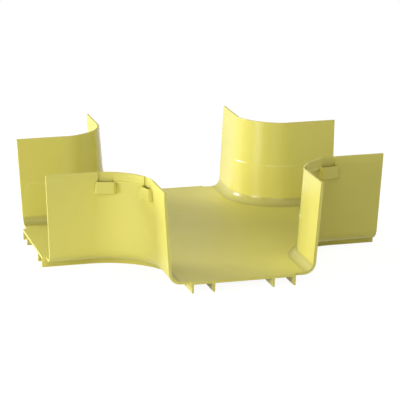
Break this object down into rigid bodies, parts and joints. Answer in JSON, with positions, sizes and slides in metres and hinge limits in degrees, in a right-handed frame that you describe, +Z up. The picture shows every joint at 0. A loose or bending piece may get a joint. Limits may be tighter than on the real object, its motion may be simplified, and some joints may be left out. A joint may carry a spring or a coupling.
{
  "type": "fibre raceway cross fitting",
  "caption": "Open-topped moulded crossing for a fibre raceway: channel arms meet at right angles with curved corner walls, ribs under the floor and clip pockets outside each bend.",
  "frame": {"origin": "middle of the crossing, in the plane that the ribs' feet stand on", "axes": "+Z up through the open top; +X and +Y along the two channels"},
  "size_m": [0.35, 0.35, 0.1016],
  "materials": {
    "body_plastic": "satin"
  },
  "bodies": {
    "root": {"cross_body": "body_plastic"}
  },
  "joints": []
}
